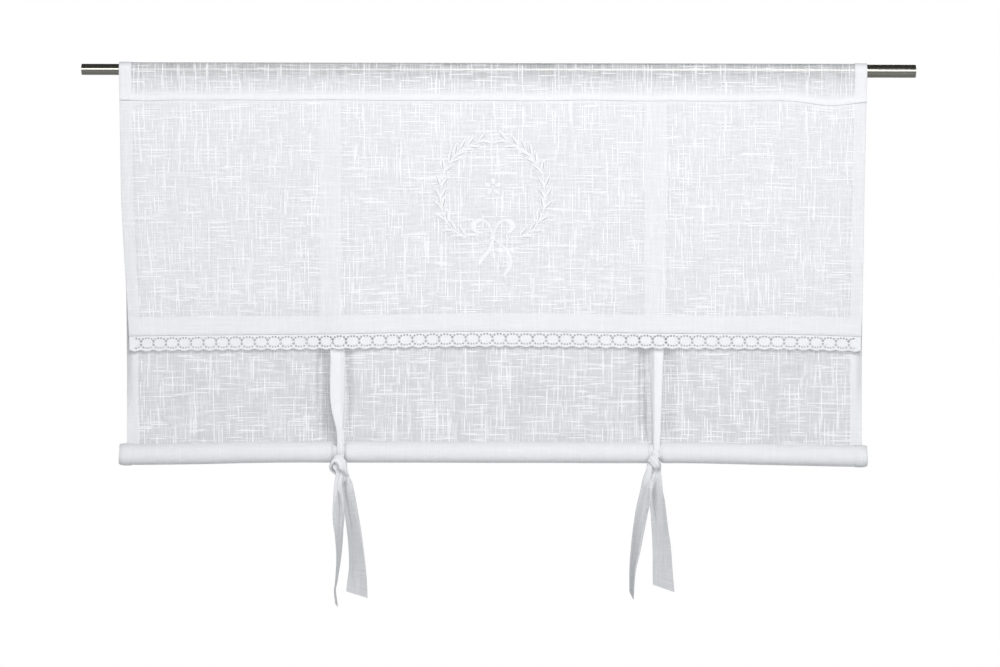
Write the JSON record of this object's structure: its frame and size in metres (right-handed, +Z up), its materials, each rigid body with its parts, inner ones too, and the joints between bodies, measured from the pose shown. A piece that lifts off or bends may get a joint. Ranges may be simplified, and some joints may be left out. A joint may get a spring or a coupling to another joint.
{
  "type": "roman blind",
  "caption": "Sheer roman blind on a telescopic rod, rolled up from below and held by knotted tie bands, with a lace-edged valance in front.",
  "frame": {"origin": "on the rod's axis, at the middle of the cloth's width", "axes": "+X along the rod to the viewer's right, -Y towards the viewer, +Z up"},
  "size_m": [1.2, 0.0636, 0.7894],
  "materials": {
    "steel": "polished",
    "sheer_cloth": "sheer slub weave",
    "lace": "open crochet lace",
    "thread": "satin stitch",
    "tie_cloth": "sheer slub weave",
    "bar_wood": "plain"
  },
  "bodies": {
    "blind": {"rod_outer_tube": "steel", "back_panel": "sheer_cloth", "front_valance": "sheer_cloth", "lace_trim": "lace", "wreath_embroidery": "thread", "left_front_tie": "tie_cloth", "left_rear_tie": "tie_cloth", "right_front_tie": "tie_cloth", "right_rear_tie": "tie_cloth", "bottom_bar": "bar_wood"},
    "inner_rod": {"rod_inner_tube": "steel"}
  },
  "joints": [
    {"name": "rod_telescope", "type": "slide", "parent": "blind", "child": "inner_rod", "axis": [1, 0, 0], "range_m": [0, 0.05]}
  ]
}
